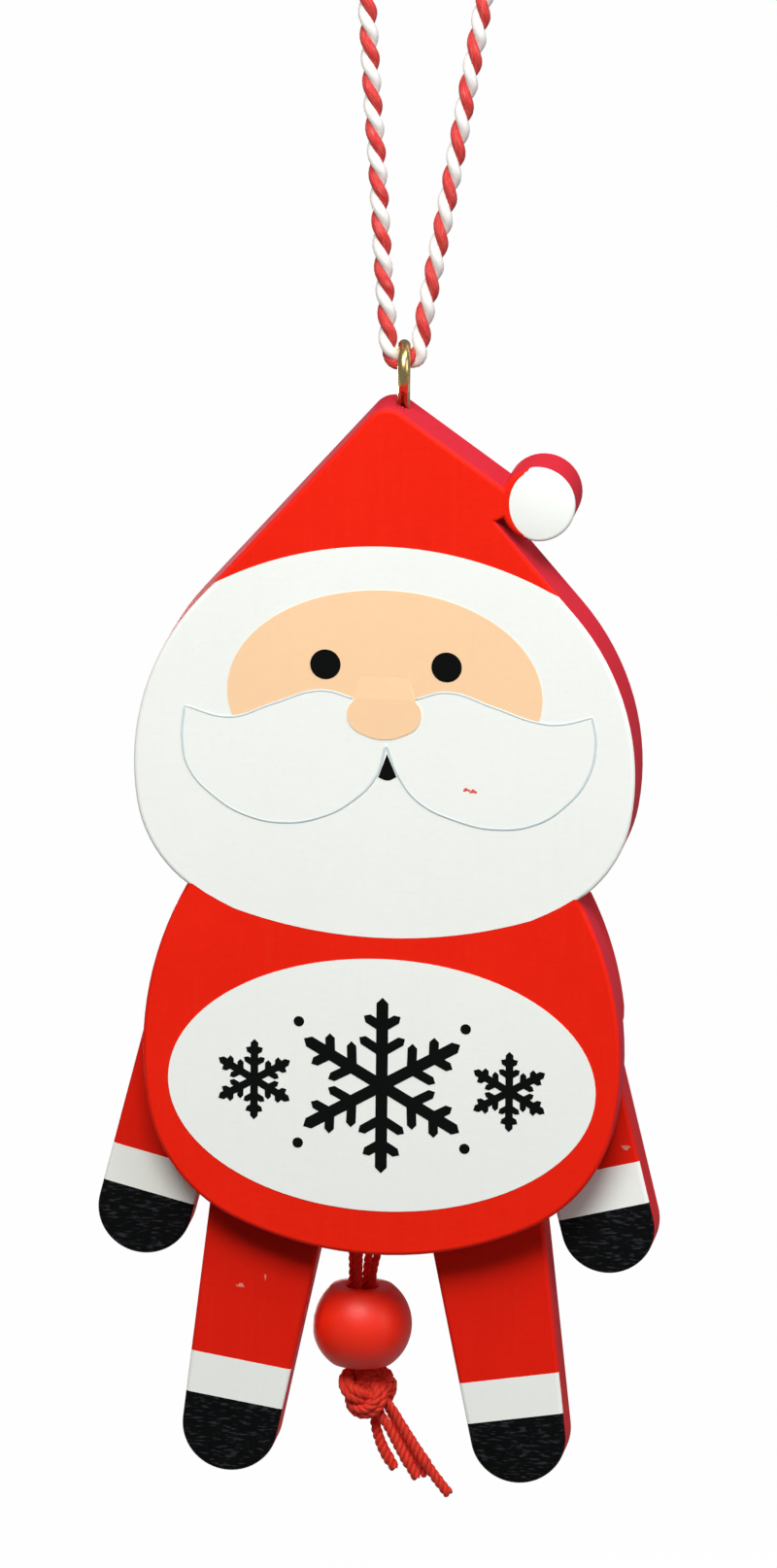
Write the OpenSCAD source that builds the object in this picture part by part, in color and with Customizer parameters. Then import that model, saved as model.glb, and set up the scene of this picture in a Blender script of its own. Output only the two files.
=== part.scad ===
// Wooden pull-string jumping jack, hung by a twine loop from a brass screw eye.
// The front faces -Y and +Z is up. The origin is the centre of the screw eye's ring.
// Drops are distances below that centre unless they name another level,
// and widths are measured from the board's centre line.

/* [Board] */
// Thickness of the hat and head
head_thick = 7; // [6:0.1:9]
// Thickness of the body, where the back is cut away for the limbs
wall_thick = 4; // [3.6:0.1:4.6]
// How far the screw eye stands to the right of the board's centre line
eye_offset = 1.2; // [0:0.1:2]

/* [Head] */
// Radius of the round head
head_r = 26.1; // [25:0.1:27]
// Drop of the head's centre
head_drop = 42; // [41:0.1:43]
// Radius of the arc under the beard
beard_r = 49; // [44:0.5:56]
// Drop of the lowest point of the beard below the head's centre
beard_drop = 17.9; // [17.4:0.1:18.2]
// Radius of the rounded jaw
jaw_r = 13.5; // [11:0.1:15]

/* [Hat] */
// Radius of the rounded tip
tip_r = 2.5; // [2:0.1:3]
// Drop of the centre of the rounded tip
tip_drop = 6.2; // [6:0.1:6.6]
// Slope of the folded edge that runs down to the bobble, in degrees
fold_angle = 35; // [33:0.5:38]
// Radius of the bobble
bobble_r = 3.9; // [3.4:0.1:4.1]
// Distance of the bobble's centre from the centre line
bobble_x = 15.6; // [15.4:0.1:16.5]
// Drop of the bobble's centre
bobble_drop = 13.2; // [12.6:0.1:13.4]
// Drop of the inner end of the slit under the bobble
slit_drop = 15.2; // [14.8:0.1:15.6]

/* [Body] */
// Half width of the body at its widest
body_half = 24.9; // [24:0.1:26]
// Drop of the widest part of the body below the beard
waist_drop = 12.6; // [11:0.2:14]
// Radius of the body's sides
side_r = 36; // [33:0.5:40]
// Radius of the arc under the body
belly_r = 36; // [33:0.5:40]
// Drop of the lowest point of the body below the beard
body_drop = 34.1; // [33:0.1:35]
// Radius of the body's lower corners
hip_corner_r = 16; // [13:0.5:18]

/* [Limbs] */
// Thickness of the arms and legs
limb_thick = 5; // [4:0.1:6]
// Gap between the body and the limbs
limb_gap = 0.3; // [0.2:0.05:0.5]
// How far the pivots of the four limbs lie to the left of the board's centre line
limb_offset = 0.9; // [0:0.1:1.2]
// Distance of an arm's pivot from the middle of the four pivots
arm_pivot_x = 17.9; // [17.5:0.1:18.3]
// Drop of an arm's pivot below the beard
arm_pivot_drop = 6.1; // [6:0.1:7]
// Length of an arm, from its pivot to the centre of the mitten's round end
arm_length = 25.9; // [23:0.1:29]
// How far an arm hangs outwards, in degrees
arm_angle = 14.1; // [13:0.1:17]
// Half width of an arm below its shoulder
arm_root_r = 5; // [4.6:0.1:5.2]
// Radius of the mitten's round end
mitten_r = 4.9; // [4.5:0.1:5.1]
// Radius of the round shoulder, which is trimmed to the body's outline
shoulder_r = 10.4; // [9.8:0.1:10.6]
// How far the wide shoulder reaches below its pivot
shoulder_low = 7; // [5:0.1:9]
// Clearance round a shoulder in the hollow behind the beard
shoulder_clearance = 0.4; // [0.3:0.05:0.6]
// How far the trimmed shoulder stays inside the body's outline
shoulder_inset = 0.15; // [0.1:0.05:0.5]
// Distance of a leg's pivot from the middle of the four pivots
leg_pivot_x = 10.6; // [10.2:0.1:10.8]
// Drop of a leg's pivot below the beard
leg_pivot_drop = 26.1; // [25:0.1:27]
// Length of a leg, from its pivot to the centre of the boot's round end
leg_length = 28.4; // [26:0.1:32]
// How far a leg hangs outwards, in degrees
leg_angle = 9.1; // [8:0.1:10]
// Radius of the round hip
hip_r = 6.3; // [5.8:0.1:6.5]
// Radius of the boot's round end
boot_r = 5; // [4.6:0.1:5.3]

/* [Movement] */
// How far the bead is pulled down
pull_travel = 6; // [5:0.1:7]
// How far an arm swings up, in degrees
arm_swing = 75; // [65:1:80]
// How far a leg swings up, in degrees
leg_swing = 50; // [45:1:55]

/* [Pins and eye] */
// Radius of a pivot pin
pin_r = 1; // [0.8:0.05:1.2]
// Radius of a pin's round head
pin_head_r = 2; // [1.7:0.1:2.4]
// Height of a pin's round head
pin_head_h = 1; // [0.8:0.1:1.2]
// Depth of a pin in the body
pin_depth = 3; // [2:0.1:3.2]
// Running clearance round a pin in its limb
pin_clearance = 0.05; // [0.03:0.01:0.08]
// Clearance round a shank that is driven into wood
seat_clearance = 0.02; // [0.01:0.01:0.04]
// Radius of the screw eye's ring, at the middle of its wire
ring_r = 2.2; // [2.15:0.05:2.5]
// Radius of the screw eye's wire
wire_r = 0.65; // [0.55:0.05:0.7]
// How far the screw eye's ring is turned on its shank, in degrees
eye_turn = 7; // [0:1:15]
// Length of the screw eye's shank below its ring's centre
shank_length = 11; // [9:0.5:13]

/* [Cords] */
// Radius of the hanging twine
twine_r = 1; // [0.8:0.05:1]
// Radius of the strings and pull cords
string_r = 0.45; // [0.35:0.05:0.5]
// Radius of the knot at the top of the hanging loop
twine_knot_r = 2.4; // [2:0.1:2.8]
// Radius of the ties and hitches in the strings
tie_r = 1; // [0.8:0.05:1.1]
// Clearance round a tie in its limb
tie_clearance = 0.05; // [0.03:0.01:0.08]
// Drop of the arms' string at its hitch
arm_string_sag = 2; // [1.6:0.1:2.4]
// Drop of the legs' string at its hitch
leg_string_sag = 1; // [0.8:0.1:1.2]
// Drop of the bead's middle below the beard
bead_drop = 44.3; // [44:0.1:44.6]
// Radius of the bead
bead_r = 5.2; // [4.6:0.1:5.3]
// Height of the bead between its flat ends
bead_h = 8.4; // [7:0.1:8.6]
// Radius of the hole through the bead
bead_hole_r = 1.6; // [1.5:0.05:2]
// Radius of the rings that the knot under the bead is laid from
knot_ring_r = 1.75; // [1.5:0.05:1.9]
// Radius of the bundle of strands in that knot
knot_bundle_r = 1.1; // [0.9:0.05:1.2]

/* [Hidden] */
$fn = 96;

// Colours
red = [0.86, 0.12, 0.06];
cord_red = [0.72, 0.08, 0.06];
brass = [0.83, 0.69, 0.36];
twine_white = [0.94, 0.90, 0.88];

LEFT = -1;
RIGHT = 1;
big = 200;
overlap = 1;

// Layers from front to back
front_y = -head_thick / 2;
wall_back_y = front_y + wall_thick;
limb_front_y = wall_back_y + limb_gap;
limb_back_y = limb_front_y + limb_thick;
pin_head_y = limb_back_y + limb_gap;
string_y = limb_back_y + tie_r;

// Centres of the arcs of the outline, seen from the front as [x, z]
head_c = [0, -head_drop];
beard_level = -head_drop - beard_drop;
beard_c = [0, beard_level + beard_r];
side_c = [body_half - side_r, beard_level - waist_drop];
belly_c = [0, beard_level - body_drop + belly_r];
tip_c = [0, -tip_drop];
bobble_c = [bobble_x, -bobble_drop];

// Direction square to the hat's straight side, where it touches both the head and the tip
hat_slope = acos((head_r - tip_r) / norm(tip_c - head_c));
hat_normal = [sin(hat_slope), cos(hat_slope)];
fold_normal = [sin(fold_angle), cos(fold_angle)];
fold_run = [cos(fold_angle), -sin(fold_angle)];
fold_start = tip_c + tip_r * fold_normal;
fold_end = fold_start + (bobble_x - fold_start.x) / fold_run.x * fold_run;
hat_side = tip_c + tip_r * hat_normal;
slit_end = [hat_side.x + (slit_drop + hat_side.y) / tan(hat_slope), -slit_drop];

// A string hole starts as far above its pivot as it ends below it,
// so that all four holes drop by the pull's travel
function hole_radius(swing) = pull_travel / (2 * sin(swing / 2));
function hole_place(pivot, side, swing) =
    pivot + hole_radius(swing) * [-side * cos(swing / 2), sin(swing / 2)];

limb_middle = -limb_offset;
function arm_pivot(side) = [limb_middle + side * arm_pivot_x, beard_level - arm_pivot_drop];
function leg_pivot(side) = [limb_middle + side * leg_pivot_x, beard_level - leg_pivot_drop];
function arm_hole(side) = hole_place(arm_pivot(side), side, arm_swing);
function leg_hole(side) = hole_place(leg_pivot(side), side, leg_swing);
tie_hole_r = tie_r * 0.8;

// Bead and knot, as [x, y, z] from the board's centre line
bead_c = [-3, string_y, beard_level - bead_drop];
knot_c = [-2.4, string_y, bead_c.z - bead_h / 2 - knot_ring_r - knot_bundle_r];
arm_hitch_c = [-1.8, string_y, arm_hole(RIGHT).y - arm_string_sag];
leg_hitch_c = [-0.4, string_y, leg_hole(RIGHT).y - leg_string_sag];

// Routes of the pull cords' strands below their hitch, as [x, y, z]:
// x from the board's centre line, y from the strings and z from the eye
arm_cord_routes = [
    [[-2.4, 1.2, -76], [-2.6, 1.3, -84], [-4.1, 0.9, -93], [-4.05, 0.25, -99], [-4.05, 0.25, -109]],
    [[-1.4, 1.2, -76], [-1.5, 1.3, -84], [-1.9, 1, -93], [-2.65, 0.55, -99], [-2.65, 0.55, -109]]
];
leg_cord_routes = [
    [[-1.3, 0.1, -91], [-3.1, -0.4, -95], [-3.35, -0.55, -99.5], [-3.35, -0.55, -109]],
    [[-0.2, 0.1, -91], [-1, -0.2, -95], [-1.95, -0.25, -99.5], [-1.95, -0.25, -109]]
];
// Routes of the four loose ends below the knot
arm_tail_routes = [
    [[-1.9, 0.6, -113], [-1.5, 0.6, -115.5], [-0.7, 0.6, -117.8], [0.5, 0.6, -119.8]],
    [[-0.6, 0.6, -112.6], [0.7, 0.6, -115], [2.3, 0.6, -117.8], [3.8, 0.6, -120.4]]
];
leg_tail_routes = [
    [[-0.2, -0.6, -112.4], [1.3, -0.5, -114.8], [3, -0.4, -117.6], [4.8, -0.3, -120.2], [6.3, -0.3, -122.1]],
    [[-1.3, -0.6, -112.8], [0.1, -0.6, -115.3], [1.6, -0.6, -118], [3, -0.6, -120.4]]
];

// Route of the hanging twine in the plane of the board's middle, as [x, z] from the eye.
// It comes from the knot, turns under the top of the ring, and goes back up to the knot.
turn_gap = 0.03;
turn_r = wire_r + twine_r + turn_gap;
twine_left = [
    [0.4, 50.5], [-2.4, 48.8], [-4.2, 45.6], [-4.6, 42], [-4.2, 38],
    [-3.6, 29], [-2.9, 20], [-2.3, 11], [-1.8, 5]
];
twine_right = [
    [2, 5], [3.1, 11], [4.7, 20], [6.2, 29],
    [7.7, 38], [8.3, 42], [8, 45.6], [6.2, 48.8], [3.4, 50.5]
];
twine_turn = [for (a = [180:20:360]) [turn_r * cos(a), ring_r + turn_r * sin(a)]];
twine_route = concat(twine_left, twine_turn, twine_right);
twine_knot_c = [1.9, 0, 51];

// Centre of a circle that lies at given distances from two points, on the right of the line between them
function circle_meet(c1, d1, c2, d2) =
    let (v = c2 - c1, d = norm(v), u = v / d)
    let (a = (d * d + d1 * d1 - d2 * d2) / (2 * d))
    c1 + a * u + sqrt(d1 * d1 - a * a) * [u.y, -u.x];
function towards(from, to, distance) = from + distance * (to - from) / norm(to - from);

// Places something drawn from the board's centre line
module on_board() translate([-eye_offset, 0, 0]) children();

// A flat piece drawn from the front as [x, z]
module plate(front, thick)
    translate([0, front + thick, 0]) rotate([90, 0, 0]) linear_extrude(thick) children();

// A round bar along Y, at [x, z]
module bar(place, r, from_y, to_y)
    translate([place.x, from_y, place.y]) rotate([-90, 0, 0]) cylinder(r = r, h = to_y - from_y);

// The lower half of a rounded outline: two corners that run into the sides and into the arc below
module rounded_foot(side_c, side_r, foot_c, foot_r, corner_r) {
    corner_c = circle_meet(side_c, side_r - corner_r, foot_c, foot_r - corner_r);
    side_touch = towards(side_c, corner_c, side_r);
    foot_touch = towards(foot_c, corner_c, foot_r);
    for (side = [LEFT, RIGHT]) translate([side * corner_c.x, corner_c.y]) circle(corner_r);
    intersection() {
        translate(foot_c) circle(foot_r, $fn = 180);
        translate([-foot_touch.x, foot_c.y - foot_r])
            square([2 * foot_touch.x, side_touch.y - foot_c.y + foot_r + overlap]);
    }
}
function foot_level(side_c, side_r, foot_c, foot_r, corner_r) =
    towards(side_c, circle_meet(side_c, side_r - corner_r, foot_c, foot_r - corner_r), side_r).y;

module above(level) translate([-big / 2, level]) square([big, big]);

// Straight-sided outline between two round ends
module tapered_link(c0, r0, c1, r1) {
    along = atan2(c1.y - c0.y, c1.x - c0.x);
    lean = acos((r0 - r1) / norm(c1 - c0));
    up = [cos(along + lean), sin(along + lean)];
    down = [cos(along - lean), sin(along - lean)];
    translate(c0) circle(r0);
    translate(c1) circle(r1);
    polygon([c0 + r0 * up, c0 + r0 * down, c1 + r1 * down, c1 + r1 * up]);
}

module head_shape() {
    intersection() {
        translate(head_c) circle(head_r, $fn = 180);
        above(foot_level(head_c, head_r, beard_c, beard_r, jaw_r));
    }
    rounded_foot(head_c, head_r, beard_c, beard_r, jaw_r);
}

module hat_shape() {
    translate(tip_c) circle(tip_r);
    polygon([
        for (side = [LEFT, RIGHT]) each
            let (n = [side * hat_normal.x, hat_normal.y])
            let (on_head = head_c + head_r * n, on_tip = tip_c + tip_r * n)
            side == LEFT ? [on_head, on_tip] : [on_tip, on_head]
    ]);
    polygon([tip_c, fold_start, fold_end, bobble_c, slit_end]);
    translate(bobble_c) circle(bobble_r);
}

module body_shape(inset = 0) {
    intersection() {
        translate(side_c) circle(side_r - inset, $fn = 180);
        translate([-side_c.x, side_c.y]) circle(side_r - inset, $fn = 180);
        above(foot_level(side_c, side_r - inset, belly_c, belly_r - inset, hip_corner_r - inset));
        translate([-big / 2, -big]) square([big, big - head_drop]);
    }
    rounded_foot(side_c, side_r - inset, belly_c, belly_r - inset, hip_corner_r - inset);
}

// Hat, bobble, head and body sawn from one board, with the back of the body cut away for the limbs
module front_board() color(red) on_board() difference() {
    union() {
        plate(front_y, head_thick) difference() {
            union() {
                hat_shape();
                head_shape();
            }
            for (side = [LEFT, RIGHT]) translate(arm_pivot(side)) circle(shoulder_r + shoulder_clearance);
        }
        plate(front_y, wall_thick) {
            head_shape();
            body_shape();
        }
    }
    for (side = [LEFT, RIGHT]) {
        bar(arm_pivot(side), pin_r + seat_clearance, wall_back_y - pin_depth, wall_back_y + overlap);
        bar(leg_pivot(side), pin_r + seat_clearance, wall_back_y - pin_depth, wall_back_y + overlap);
    }
    translate([eye_offset, 0, -shank_length - seat_clearance])
        cylinder(r = wire_r + seat_clearance, h = shank_length);
}

// Closed ring of wire in the plane across the board, on a straight shank
module screw_eye() color(brass) {
    rotate([0, 90, eye_turn]) rotate_extrude() translate([ring_r, 0]) circle(wire_r, $fn = 32);
    translate([0, 0, -shank_length]) cylinder(r = wire_r, h = shank_length - ring_r);
}

module arm(side) color(red) on_board() {
    pivot = arm_pivot(side);
    mitten = pivot + arm_length * [side * sin(arm_angle), -cos(arm_angle)];
    difference() {
        plate(limb_front_y, limb_thick) {
            tapered_link(pivot, arm_root_r, mitten, mitten_r);
            intersection() {
                translate(pivot) circle(shoulder_r);
                body_shape(shoulder_inset);
                above(pivot.y - shoulder_low);
            }
        }
        limb_holes(pivot, arm_hole(side));
    }
}

module leg(side) color(red) on_board() {
    pivot = leg_pivot(side);
    boot = pivot + leg_length * [side * sin(leg_angle), -cos(leg_angle)];
    difference() {
        plate(limb_front_y, limb_thick) {
            tapered_link(pivot, hip_r, boot, boot_r);
            tapered_link(pivot, hip_r, leg_hole(side), 2 * tie_r);
        }
        limb_holes(pivot, leg_hole(side));
    }
}

module limb_holes(pivot, hole) {
    bar(pivot, pin_r + pin_clearance, limb_front_y - overlap, limb_back_y + overlap);
    bar(hole, tie_hole_r + tie_clearance, limb_front_y - overlap, limb_back_y + overlap);
}

// Round-headed pin driven into the body from behind
module pin(pivot) color(brass) on_board() {
    bar(pivot, pin_r, wall_back_y - pin_depth, pin_head_y + pin_head_h / 2);
    dome_r = (pin_head_r * pin_head_r + pin_head_h * pin_head_h) / (2 * pin_head_h);
    intersection() {
        translate([pivot.x, pin_head_y + pin_head_h - dome_r, pivot.y]) sphere(dome_r);
        bar(pivot, pin_head_r + overlap, pin_head_y, pin_head_y + dome_r);
    }
}

// String looped through a limb's hole and knotted behind it
module tie(hole) color(cord_red) on_board() {
    bar(hole, tie_hole_r, limb_front_y, string_y);
    translate([hole.x, string_y, hole.y]) sphere(tie_r, $fn = 32);
}

// Round cord along a route, as one closed skin with a ring of points at each stop
function unit(v) = v / norm(v);
function route_run(route, i) = unit(route[min(i + 1, len(route) - 1)] - route[max(i - 1, 0)]);
function ring(centre, run, r, sides) =
    let (aside = unit(cross(run, [0, 1, 0.01])), across = cross(aside, run))
    [for (k = [0:sides - 1]) centre + r * (cos(360 * k / sides) * aside + sin(360 * k / sides) * across)];

module cord(route, r, sides = 8) {
    stops = len(route);
    skin = [for (i = [0:stops - 1]) each ring(route[i], route_run(route, i), r, sides)];
    walls = [
        for (i = [0:stops - 2], k = [0:sides - 1], half = [0, 1])
            let (a = i * sides + k, b = i * sides + (k + 1) % sides)
            half == 0 ? [a, b, b + sides] : [a, b + sides, a + sides]
    ];
    start_cap = [for (k = [1:sides - 2]) [0, k + 1, k]];
    last = (stops - 1) * sides;
    end_cap = [for (k = [1:sides - 2]) [last, last + k, last + k + 1]];
    polyhedron(skin, concat(walls, start_cap, end_cap));
}

// Cross string from tie to tie, drawn down in the middle by its hitch
module cross_string(left, right, hitch) color(cord_red) on_board() {
    start = [left.x, string_y, left.y];
    end = [right.x, string_y, right.y];
    clear = tie_r + limb_gap / 2;
    cord([towards(start, hitch, clear), hitch, towards(end, hitch, clear)], string_r);
}

// Pull cord hitched over a cross string
module hitch(centre) color(cord_red) on_board() translate(centre) {
    sphere(tie_r, $fn = 32);
    translate([0, 0, -tie_r]) sphere(tie_r * 0.9, $fn = 32);
}

// Strands along routes whose stops are set off from the strings
function strand_stops(route) = [for (stop = route) [stop.x, string_y + stop.y, stop.z]];
module strands(routes) color(cord_red) on_board() for (route = routes) cord(strand_stops(route), string_r);

// Two strands of a pull cord, side by side from the lower part of their hitch
module pull_cord(hitch_c, routes) color(cord_red) on_board() for (k = [0, 1])
    cord(concat([hitch_c + [k - 0.5, tie_r / 2, -1.5 * tie_r]], strand_stops(routes[k])), string_r);

// Turned wooden bead with flat ends and a rounded mouth to its hole
module pull_bead() color(red) on_board() translate(bead_c) rotate_extrude() difference() {
    intersection() {
        circle(bead_r);
        translate([0, -bead_h / 2]) square([bead_r, bead_h]);
    }
    translate([-overlap, -bead_h]) square([bead_hole_r + overlap, 2 * bead_h]);
}

// Overhand knot laid from rings of the four strands together
module pull_knot() color(cord_red) on_board() translate(knot_c) {
    for (turn = [[62, 0, -24], [-28, 0, 40], [90, 40, 0]])
        rotate(turn) rotate_extrude($fn = 48) translate([knot_ring_r, 0]) circle(knot_bundle_r, $fn = 24);
    sphere(knot_ring_r, $fn = 32);
}

module hanging_twine() color(twine_white) cord([for (stop = twine_route) [stop.x, 0, stop.y]], twine_r);

// Overhand knot that closes the hanging loop, with its two cut ends
module twine_knot() color(twine_white) translate(twine_knot_c) {
    sphere(twine_knot_r, $fn = 48);
    for (side = [LEFT, RIGHT]) rotate([0, side * 24, 0]) cylinder(r = twine_r, h = 3 * twine_knot_r);
}

front_board();
screw_eye();
arm(LEFT);  // left_arm
arm(RIGHT);  // right_arm
leg(LEFT);  // left_leg
leg(RIGHT);  // right_leg
pin(arm_pivot(LEFT));  // left_arm_pin
pin(arm_pivot(RIGHT));  // right_arm_pin
pin(leg_pivot(LEFT));  // left_leg_pin
pin(leg_pivot(RIGHT));  // right_leg_pin
tie(arm_hole(LEFT));  // left_arm_tie
tie(arm_hole(RIGHT));  // right_arm_tie
tie(leg_hole(LEFT));  // left_leg_tie
tie(leg_hole(RIGHT));  // right_leg_tie
cross_string(arm_hole(LEFT), arm_hole(RIGHT), arm_hitch_c);  // arm_string
cross_string(leg_hole(LEFT), leg_hole(RIGHT), leg_hitch_c);  // leg_string
hitch(arm_hitch_c);  // arm_string_hitch
hitch(leg_hitch_c);  // leg_string_hitch
pull_cord(arm_hitch_c, arm_cord_routes);  // arm_pull_cord
pull_cord(leg_hitch_c, leg_cord_routes);  // leg_pull_cord
pull_bead();
pull_knot();
strands(arm_tail_routes);  // arm_cord_tails
strands(leg_tail_routes);  // leg_cord_tails
hanging_twine();
twine_knot();
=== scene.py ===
"""A wooden Santa jumping jack on a twine loop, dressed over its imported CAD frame."""
import math
from contextlib import contextmanager

import bpy
from mathutils import Euler, Matrix, Vector


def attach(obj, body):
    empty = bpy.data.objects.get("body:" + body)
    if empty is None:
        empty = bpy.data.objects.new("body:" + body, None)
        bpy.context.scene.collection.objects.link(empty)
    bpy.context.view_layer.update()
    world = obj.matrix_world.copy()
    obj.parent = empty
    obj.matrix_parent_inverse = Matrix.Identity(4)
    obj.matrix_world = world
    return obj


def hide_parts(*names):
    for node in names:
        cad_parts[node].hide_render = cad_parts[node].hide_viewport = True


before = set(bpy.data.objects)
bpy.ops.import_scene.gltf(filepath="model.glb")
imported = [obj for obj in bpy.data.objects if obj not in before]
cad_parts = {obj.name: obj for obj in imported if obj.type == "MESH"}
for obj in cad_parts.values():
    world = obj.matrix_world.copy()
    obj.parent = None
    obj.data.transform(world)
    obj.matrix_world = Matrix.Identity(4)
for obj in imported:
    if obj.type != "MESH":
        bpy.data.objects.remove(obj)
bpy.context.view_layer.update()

# Sizes and places: a drop is a distance below the middle of the screw eye's ring,
# and x on the board is measured from the board's centre line

MM = 0.001
LEFT, RIGHT = -1, 1
SIDES = {LEFT: "left", RIGHT: "right"}
EYE_OFFSET = 1.2 * MM
FRONT_Y, HEAD_BACK_Y = -3.5 * MM, 3.5 * MM
LIMB_FRONT_Y, LIMB_BACK_Y = 0.8 * MM, 5.8 * MM
STRING_Y = 6.8 * MM
EDGE_ROUND = 0.4 * MM
# Paint stands this proud of the wood, each coat this proud of the one below,
# and it reaches this far round a front edge
PAINT_LIFT, PAINT_STEP, PAINT_WRAP = 0.03 * MM, 0.02 * MM, 0.2 * MM

STRING_R, TWINE_R = 0.45 * MM, 1.0 * MM
RING_R, WIRE_R = 2.2 * MM, 0.65 * MM
BEAD_C = Vector((-3 * MM - EYE_OFFSET, STRING_Y, -104.2 * MM))
KNOT_C = Vector((-2.4 * MM - EYE_OFFSET, STRING_Y, -111.25 * MM))
TWINE_KNOT_C = Vector((1.9 * MM, 0, 51 * MM))


# Modelling helpers

FINE_MERGE, MERGE = 1e-7, 1e-6
# Degrees: faces that turn less than the first are joined, and edges sharper than the rest stay sharp
JOIN_ANGLE, NODE_SMOOTH, SMOOTH = 0.4, 30, 35
# How near to a level an edge lies on it, and how much its faces turn at an outline
LEVEL_SLACK, OUTLINE_TURN = 1e-5, 0.5
ROUND_STEPS, CURVE_STEPS = 3, 8


def take(obj):
    """Makes one object the only selected and the active one."""
    bpy.ops.object.select_all(action="DESELECT")
    obj.select_set(True)
    bpy.context.view_layer.objects.active = obj
    return obj


def add_object(name, data):
    obj = bpy.data.objects.new(name, data)
    bpy.context.scene.collection.objects.link(obj)
    return take(obj)


@contextmanager
def edit_mode(obj, select=None):
    """Edit mode on one object, after selecting or deselecting all of its mesh if asked to."""
    take(obj)
    bpy.ops.object.mode_set(mode="EDIT")
    if select:
        bpy.ops.mesh.select_all(action=select)
    yield
    bpy.ops.object.mode_set(mode="OBJECT")


def smooth_shading(degrees=SMOOTH):
    """Shades the active object smooth, apart from edges sharper than this."""
    bpy.ops.object.shade_smooth_by_angle(angle=math.radians(degrees))


def apply_modifier(obj, kind, **settings):
    take(obj)
    modifier = obj.modifiers.new(kind.title(), kind)
    for name, value in settings.items():
        setattr(modifier, name, value)
    bpy.ops.object.modifier_apply(modifier=modifier.name)


def close_mesh(obj, merge=FINE_MERGE):
    """Merges doubles and turns all faces outwards."""
    with edit_mode(obj, "SELECT"):
        bpy.ops.mesh.remove_doubles(threshold=merge)
        bpy.ops.mesh.normals_make_consistent(inside=False)


def joined(name, parts):
    """Joins several objects into one of this name."""
    whole = take(parts[0])
    for part in parts:
        part.select_set(True)
    bpy.ops.object.join()
    whole.name = name
    whole.data.name = name
    return whole


def copy_of_node(node, name, smooth_angle=NODE_SMOOTH):
    """A merged copy of a CAD node's mesh, with its flat faces joined again."""
    obj = add_object(name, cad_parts[node].data.copy())
    obj.data.materials.clear()
    with edit_mode(obj, "SELECT"):
        bpy.ops.mesh.remove_doubles(threshold=MERGE)
        bpy.ops.mesh.dissolve_limited(angle_limit=math.radians(JOIN_ANGLE))
    smooth_shading(smooth_angle)
    return obj


def round_edges(obj, *levels):
    """Rounds the outline edges that lie on the given levels of Y."""
    with edit_mode(obj, "DESELECT"):
        bpy.ops.mesh.select_mode(type="EDGE")
    mesh = obj.data
    facing = {}
    for face in mesh.polygons:
        for key in face.edge_keys:
            facing.setdefault(key, []).append(abs(face.normal.y))
    for edge in mesh.edges:
        ys = [mesh.vertices[v].co.y for v in edge.vertices]
        on_level = any(max(abs(y - level) for y in ys) < LEVEL_SLACK for level in levels)
        sides = facing.get(edge.key, [])
        edge.select = on_level and len(sides) == 2 and abs(sides[0] - sides[1]) > OUTLINE_TURN
    with edit_mode(obj):
        bpy.ops.mesh.bevel(offset=EDGE_ROUND, segments=ROUND_STEPS, affect="EDGES",
                           clamp_overlap=False, loop_slide=False)
    smooth_shading()


def even(start, end, count):
    """Values from start to end in this many even steps."""
    return [start + (end - start) * i / count for i in range(count + 1)]


def round_turns(count):
    """Angles of this many even places round a circle."""
    return [2 * math.pi * i / count for i in range(count)]


def on_board(x, drop):
    """A place on the board's front as (x, z) from the eye."""
    return (x - EYE_OFFSET, -drop)


def drawn(points):
    """Places on the board's front from (x, drop) pairs in millimetres."""
    return [on_board(x * MM, drop * MM) for x, drop in points]


def bezier_mesh(name, points, corners, closed, **settings):
    """A mesh from a curve through the given points, smooth but for some corners."""
    curve = bpy.data.curves.new(name, "CURVE")
    curve.resolution_u = CURVE_STEPS
    for label, value in settings.items():
        setattr(curve, label, value)
    spline = curve.splines.new("BEZIER")
    spline.bezier_points.add(len(points) - 1)
    spline.use_cyclic_u = closed
    for i, (knot, point) in enumerate(zip(spline.bezier_points, points)):
        knot.co = point
        handle = "VECTOR" if i in corners else "AUTO"
        knot.handle_left_type = handle
        knot.handle_right_type = handle
    add_object(name, curve)
    bpy.ops.object.convert(target="MESH")
    return bpy.context.view_layer.objects.active


def settle(obj, matrix):
    """Moves an object's own mesh by a matrix, and closes it."""
    obj.matrix_world = matrix
    bpy.ops.object.transform_apply(location=True, rotation=True, scale=True)
    close_mesh(obj)
    return obj


def flat_plate(name, points, front, back, corners=None):
    """A plate between two levels of Y; every point of its outline is a corner if none are named."""
    sharp = range(len(points)) if corners is None else corners
    plate = bezier_mesh(name, [(x, z, 0) for x, z in points], sharp, True,
                        dimensions="2D", fill_mode="BOTH", extrude=(back - front) / 2)
    middle = Matrix.Translation((0, (front + back) / 2, 0))
    return settle(plate, middle @ Matrix.Rotation(math.pi / 2, 4, "X"))


def ellipse(x, drop, half_w, half_h, count):
    """Points of an ellipse on the board's front."""
    cx, cz = on_board(x, drop)
    return [(cx + half_w * math.cos(t), cz + half_h * math.sin(t)) for t in round_turns(count)]


def arc_down(radius, lowest_drop, half_w, count):
    """An arc from right to left that bulges down, with its middle at lowest_drop."""
    centre = lowest_drop - radius
    half = math.asin(half_w / radius)
    return [on_board(radius * math.sin(t), centre + radius * math.cos(t))
            for t in even(half, -half, count)]


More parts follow.
